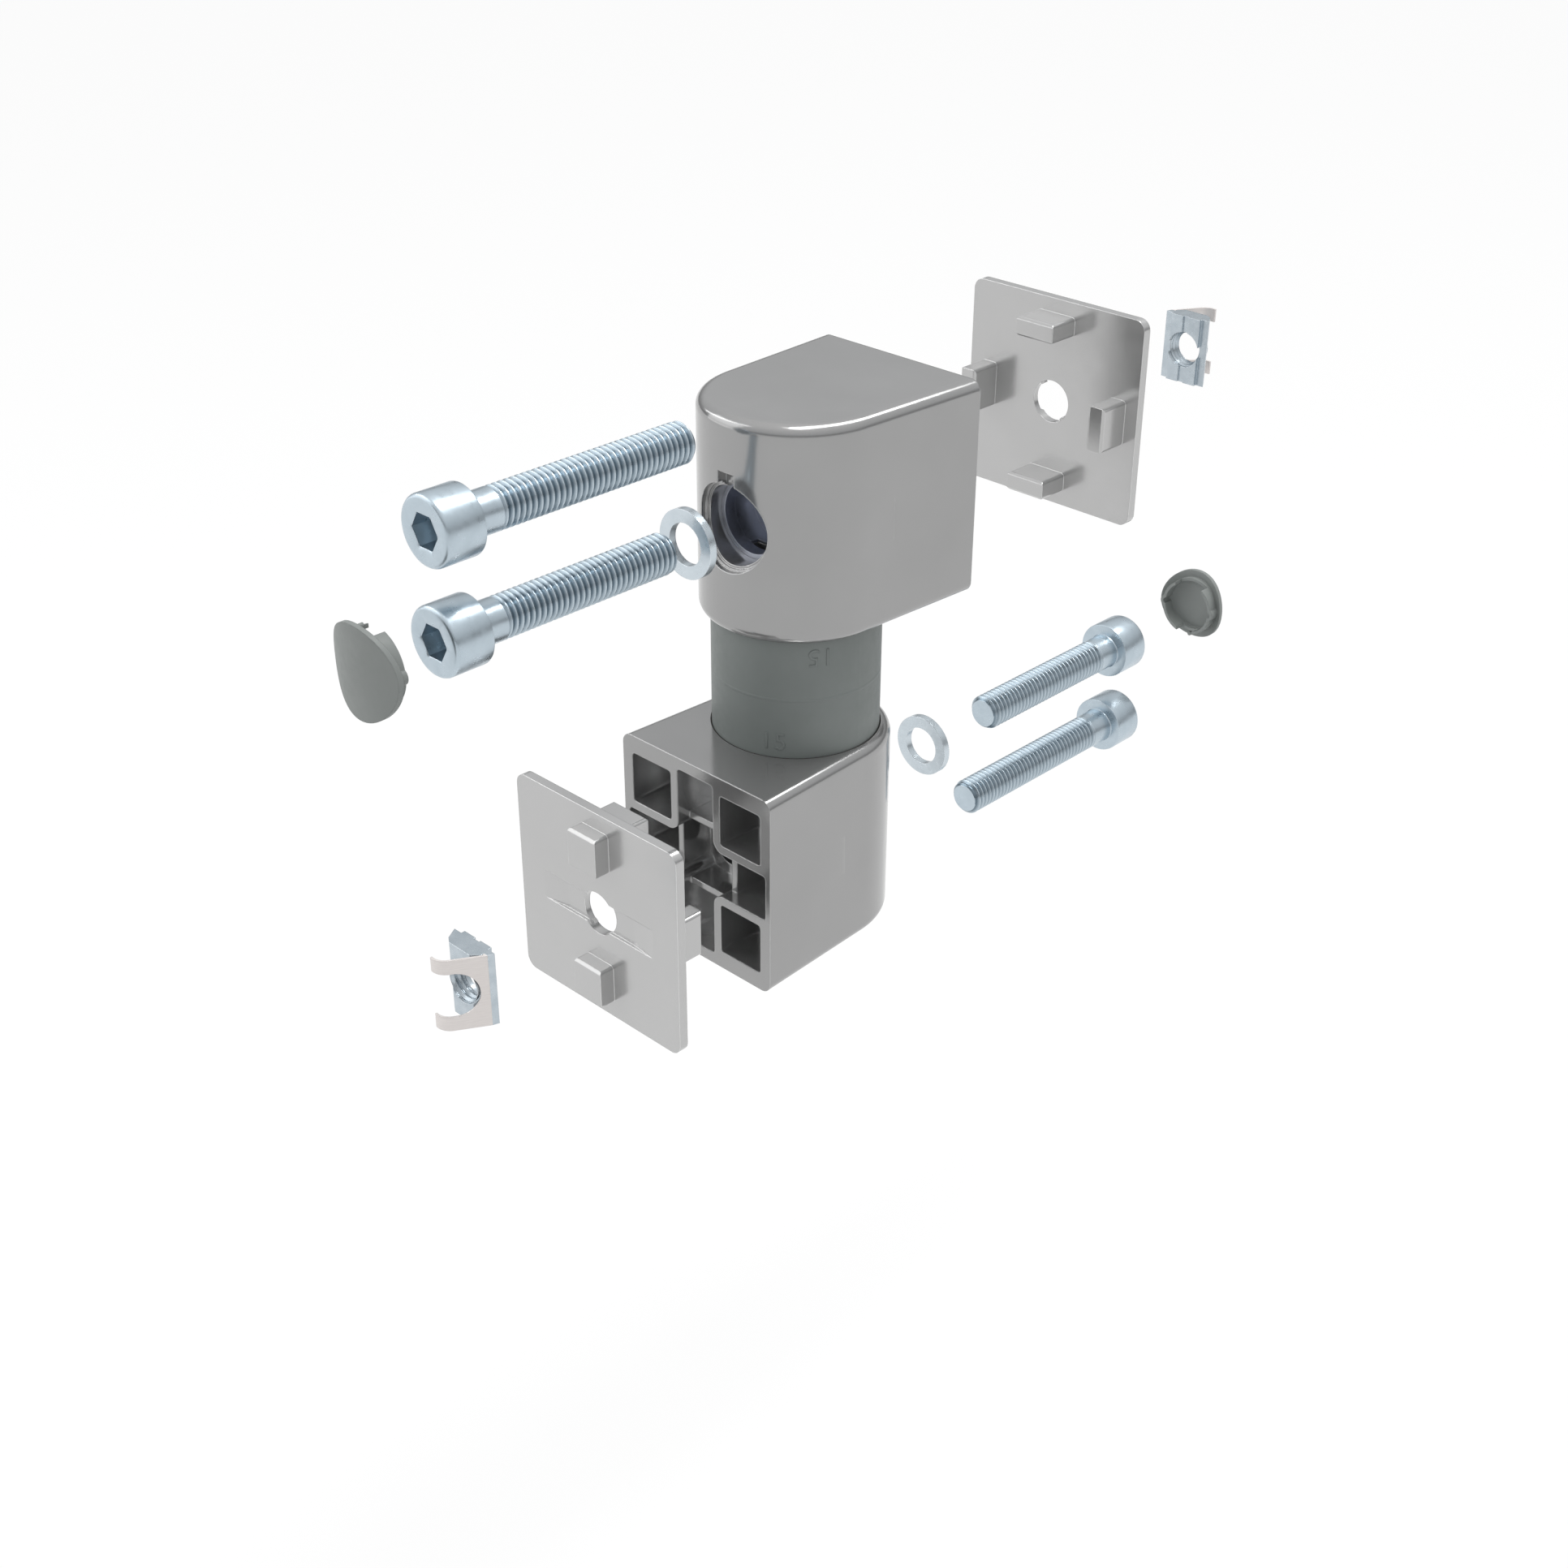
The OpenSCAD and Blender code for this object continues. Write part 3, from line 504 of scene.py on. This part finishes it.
def nut_thread(side, flip):
    """Thread inside the hole of a slot nut: a helical inner side in a thin sleeve."""
    low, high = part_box(side + "_slot_nut")
    ends = (FAR_SIDE, SCREW_SIDE) if flip else (SCREW_SIDE, FAR_SIDE)
    start, end = low.y / MM + ends[0], high.y / MM - ends[1]
    bm = bmesh.new()

    def radius_at(y, depth):
        return max(BORE_R - NUT_DEPTH * depth, BORE_R - min(y - start, end - y) * RUN_OUT)

    thread(bm, start, end, radius_at, meshing_phase(side, start, flip))
    bmesh.ops.remove_doubles(bm, verts=bm.verts, dist=WELD)
    outer = [ring(bm, SLEEVE_R, y) for y in (start, end)]
    bridge(bm, *outer)
    for y, outer_ring in zip((start, end), outer):
        bridge(bm, outer_ring, ring(bm, BORE_R, y))
    bmesh.ops.remove_doubles(bm, verts=bm.verts, dist=WELD)
    bmesh.ops.recalc_face_normals(bm, faces=bm.faces)
    bmesh.ops.scale(bm, vec=(MM, MM, MM), verts=bm.verts)
    bmesh.ops.translate(bm, vec=(0, 0, (low.z + high.z) / 2), verts=bm.verts)
    name = side + "_nut_thread"
    seat(name, finish_mesh(bm, name), side + "_nut", "nut_steel")


nut_thread("upper", flip=False)
nut_thread("lower", flip=True)


# ---------------------------------------------------------------- core, in millimetres

CORE_R = 17.0
# How far the number stands out of the core's side, and how far it reaches into it
RELIEF, ROOTED = 0.09, 0.2
# Height of each housing's mouth above or below the swivel
MOUTH = 12.6
RING_POINTS, RING_SHARP = 128, 50


def core_number(side, azimuth, height, over):
    """The torque figure as a low raised number on a core half; over turns it on its head."""
    name = side + "_core_number"
    curve = bpy.data.curves.new(name + "_outline", "FONT")
    curve.body = "15"
    curve.size = 5.2
    curve.space_character = 1.08
    curve.extrude = 0.15
    curve.align_x, curve.align_y = "CENTER", "CENTER"
    curve.resolution_u = 5
    holder = link(name + "_outline", curve)
    graph = bpy.context.evaluated_depsgraph_get()
    mesh = bpy.data.meshes.new_from_object(holder.evaluated_get(graph))
    bpy.data.objects.remove(holder)
    bpy.data.curves.remove(curve)
    way = -1 if over else 1
    for v in mesh.vertices:
        a = math.radians(azimuth) + way * v.co.x / CORE_R
        r = CORE_R + (RELIEF if v.co.z > 0 else -ROOTED)
        v.co = SWIVEL + Vector((r * math.cos(a), r * math.sin(a), height + way * v.co.y)) * MM
    mesh.materials.clear()
    seat(name, mesh, side + "_core", "core_plastic")


core_number("upper", azimuth=-30, height=9.3, over=True)
core_number("lower", azimuth=-61, height=-9.3, over=False)


def core_ring(name, body, height, profile, mat):
    """Ring around the core; profile holds (radius, height) pairs."""
    bm = bmesh.new()
    rings = [[bm.verts.new(SWIVEL + Vector((r * c, r * s, height + z)) * MM)
              for c, s in circle(RING_POINTS)] for r, z in profile]
    for a, b in zip(rings, rings[1:] + rings[:1]):
        bridge(bm, a, b)
    bmesh.ops.recalc_face_normals(bm, faces=bm.faces)
    seat(name, finish_mesh(bm, name, RING_SHARP), body, mat)


# A thin collar closes the running gap between the core halves, a hair proud of them, and a
# near-black ring at each housing's mouth around the core is a painted shadow of the gap there
core_ring("parting_seal", "lower_core", 0.0,
          [(16.2, -0.05), (16.9, -0.5), (17.006, -0.35), (17.006, 0.35), (16.9, 0.5),
           (16.2, 0.05)], "core_plastic")
for side, sign in (("lower", -1), ("upper", 1)):
    inner, outer = sign * 0.3, -sign * 0.012
    # Near-black ring: a painted shadow of the gap between core and housing
    core_ring(side + "_painted_gap_shadow", side + "_housing", sign * MOUTH,
              [(17.1, inner), (17.3, inner), (17.3, outer), (17.1, outer)], "friction_lining")


# ---------------------------------------------------------------- floor and light

FLOOR_Z = -0.16
FLOOR_R, FLOOR_POINTS = 20, 96
# How much of the floor's white shows to the camera and in reflections, over its own shading
GLOW = 0.88
# Brightness by the sine of the height above the horizon: a dim band, a light dome, a bright top
BANDS = [(0.0, 0.20), (0.14, 0.30), (0.34, 0.70), (0.56, 0.78), (0.90, 1.0)]
WHITE = (1, 1, 1, 1)


def seen_by(tree, kinds):
    """1 for the kinds of ray that are named, 0 for the others."""
    path = add(tree, "LightPath")
    total = path.outputs[kinds[0]]
    for kind in kinds[1:]:
        total = add(tree, "Math", {0: total, 1: path.outputs[kind]},
                    operation="MAXIMUM").outputs["Value"]
    return total


def studio_floor():
    """White disc that shows only the part's shadow."""
    mesh = bpy.data.meshes.new("studio_floor")
    points = [(FLOOR_R * c, FLOOR_R * s, FLOOR_Z) for c, s in circle(FLOOR_POINTS)]
    mesh.from_pydata(points, [], [tuple(range(len(points)))])
    mat, nt, bsdf, out = new_material("studio_floor")
    bsdf.inputs["Base Color"].default_value = (0.82, 0.82, 0.82, 1)
    bsdf.inputs["Roughness"].default_value = 0.9
    bsdf.inputs["Specular IOR Level"].default_value = 0.2
    glow = add(nt, "Emission", {"Color": WHITE, "Strength": 1.0})
    seen = seen_by(nt, ["Is Camera Ray", "Is Glossy Ray", "Is Transmission Ray"])
    share = add(nt, "Math", {0: seen, 1: GLOW}, operation="MULTIPLY")
    mix = add(nt, "MixShader", {"Fac": share.outputs["Value"], 1: bsdf.outputs["BSDF"],
                                2: glow.outputs["Emission"]})
    nt.links.new(mix.outputs["Shader"], out.inputs["Surface"])
    mesh.materials.append(mat)
    link("studio_floor", mesh)


def studio_world():
    """White to the camera, a banded sky to everything else."""
    world = bpy.data.worlds.new("studio")
    bpy.context.scene.world = world
    world.use_nodes = True
    nt = world.node_tree
    nt.nodes.clear()
    split = add(nt, "SeparateXYZ", {"Vector": add(nt, "TexCoord").outputs["Generated"]})
    ramp = add(nt, "ValToRGB", {"Fac": split.outputs["Z"]})
    stops = ramp.color_ramp.elements
    (first, dim), (last, _) = BANDS[0], BANDS[-1]
    stops[0].position, stops[0].color = first, (dim, dim * 1.01, dim * 1.03, 1)
    stops[1].position, stops[1].color = last, WHITE
    for at, level in BANDS[1:-1]:
        stops.new(at).color = (level, level * 1.01, level * 1.02, 1)
    seen = add(nt, "Background", {"Color": WHITE, "Strength": 1.0})
    lit = add(nt, "Background", {"Color": ramp.outputs["Color"], "Strength": 1.0})
    mix = add(nt, "MixShader", {"Fac": seen_by(nt, ["Is Camera Ray"]),
                                1: lit.outputs["Background"], 2: seen.outputs["Background"]})
    add(nt, "OutputWorld", {"Surface": mix.outputs["Shader"]})


def placed(x, y, z, at):
    """Matrix of an object at a point, with its own axes along x, y and z."""
    return Matrix.Translation(at) @ Matrix((x, y, z)).transposed().to_4x4()


def area_lamp(name, at, aim, along, size, watts):
    """Softbox at a point, facing another one, with its long side in the direction of along."""
    data = bpy.data.lights.new(name, "AREA")
    data.shape = "RECTANGLE"
    data.size, data.size_y = size
    data.energy = watts
    back = (Vector(at) - Vector(aim)).normalized()
    side = back.cross(Vector(along)).normalized()
    link(name, data).matrix_world = placed(side.cross(back), side, back, at)


studio_floor()
studio_world()
# A long softbox over the part and behind it draws the bright lines on the long fillets
area_lamp("overhead_softbox", at=(0.10, 0.36, 0.90), aim=(0.10, 0.36, 0.0), along=(0, 1, 0),
          size=(0.95, 0.19), watts=6.0)
# A narrow one, slanting down on the left, carries that line on around the round side
area_lamp("left_strip", at=(-0.625, -0.32, 0.58), aim=(0, 0.03, 0.06), along=(0.65, -0.50, 0.44),
          size=(1.0, 0.07), watts=0.8)
# A weak, wide one fills the sides that look away from both
area_lamp("side_fill", at=(-0.55, -0.40, 0.30), aim=(0, 0.05, 0.03), along=(0.4, -0.6, 0),
          size=(0.6, 0.6), watts=1.3)


# ---------------------------------------------------------------- camera

# The fit to the plates' corners in the photo: angles, place, and focal length in its pixels
AZ, EL, ROLL = math.radians(44.19), math.radians(29.80), math.radians(0.257)
CAM_AT = Vector((0.26944, -0.22598, 0.22919))
FOCAL_PX, PHOTO_PX = 2675.0, 1932.0
SENSOR = 36.0


def photo_camera():
    back = Vector((math.sin(AZ) * math.cos(EL), -math.cos(AZ) * math.cos(EL), math.sin(EL)))
    right = Vector((0, 0, 1)).cross(back).normalized()
    up = back.cross(right)
    data = bpy.data.cameras.new("photo_camera")
    data.sensor_width = SENSOR
    data.lens = FOCAL_PX / PHOTO_PX * SENSOR
    data.clip_start, data.clip_end = 0.01, 20.0
    camera = link("photo_camera", data)
    camera.matrix_world = placed(math.cos(ROLL) * right + math.sin(ROLL) * up,
                                 math.cos(ROLL) * up - math.sin(ROLL) * right, back, CAM_AT)
    bpy.context.scene.camera = camera


photo_camera()
bpy.context.scene.view_settings.view_transform = "Standard"
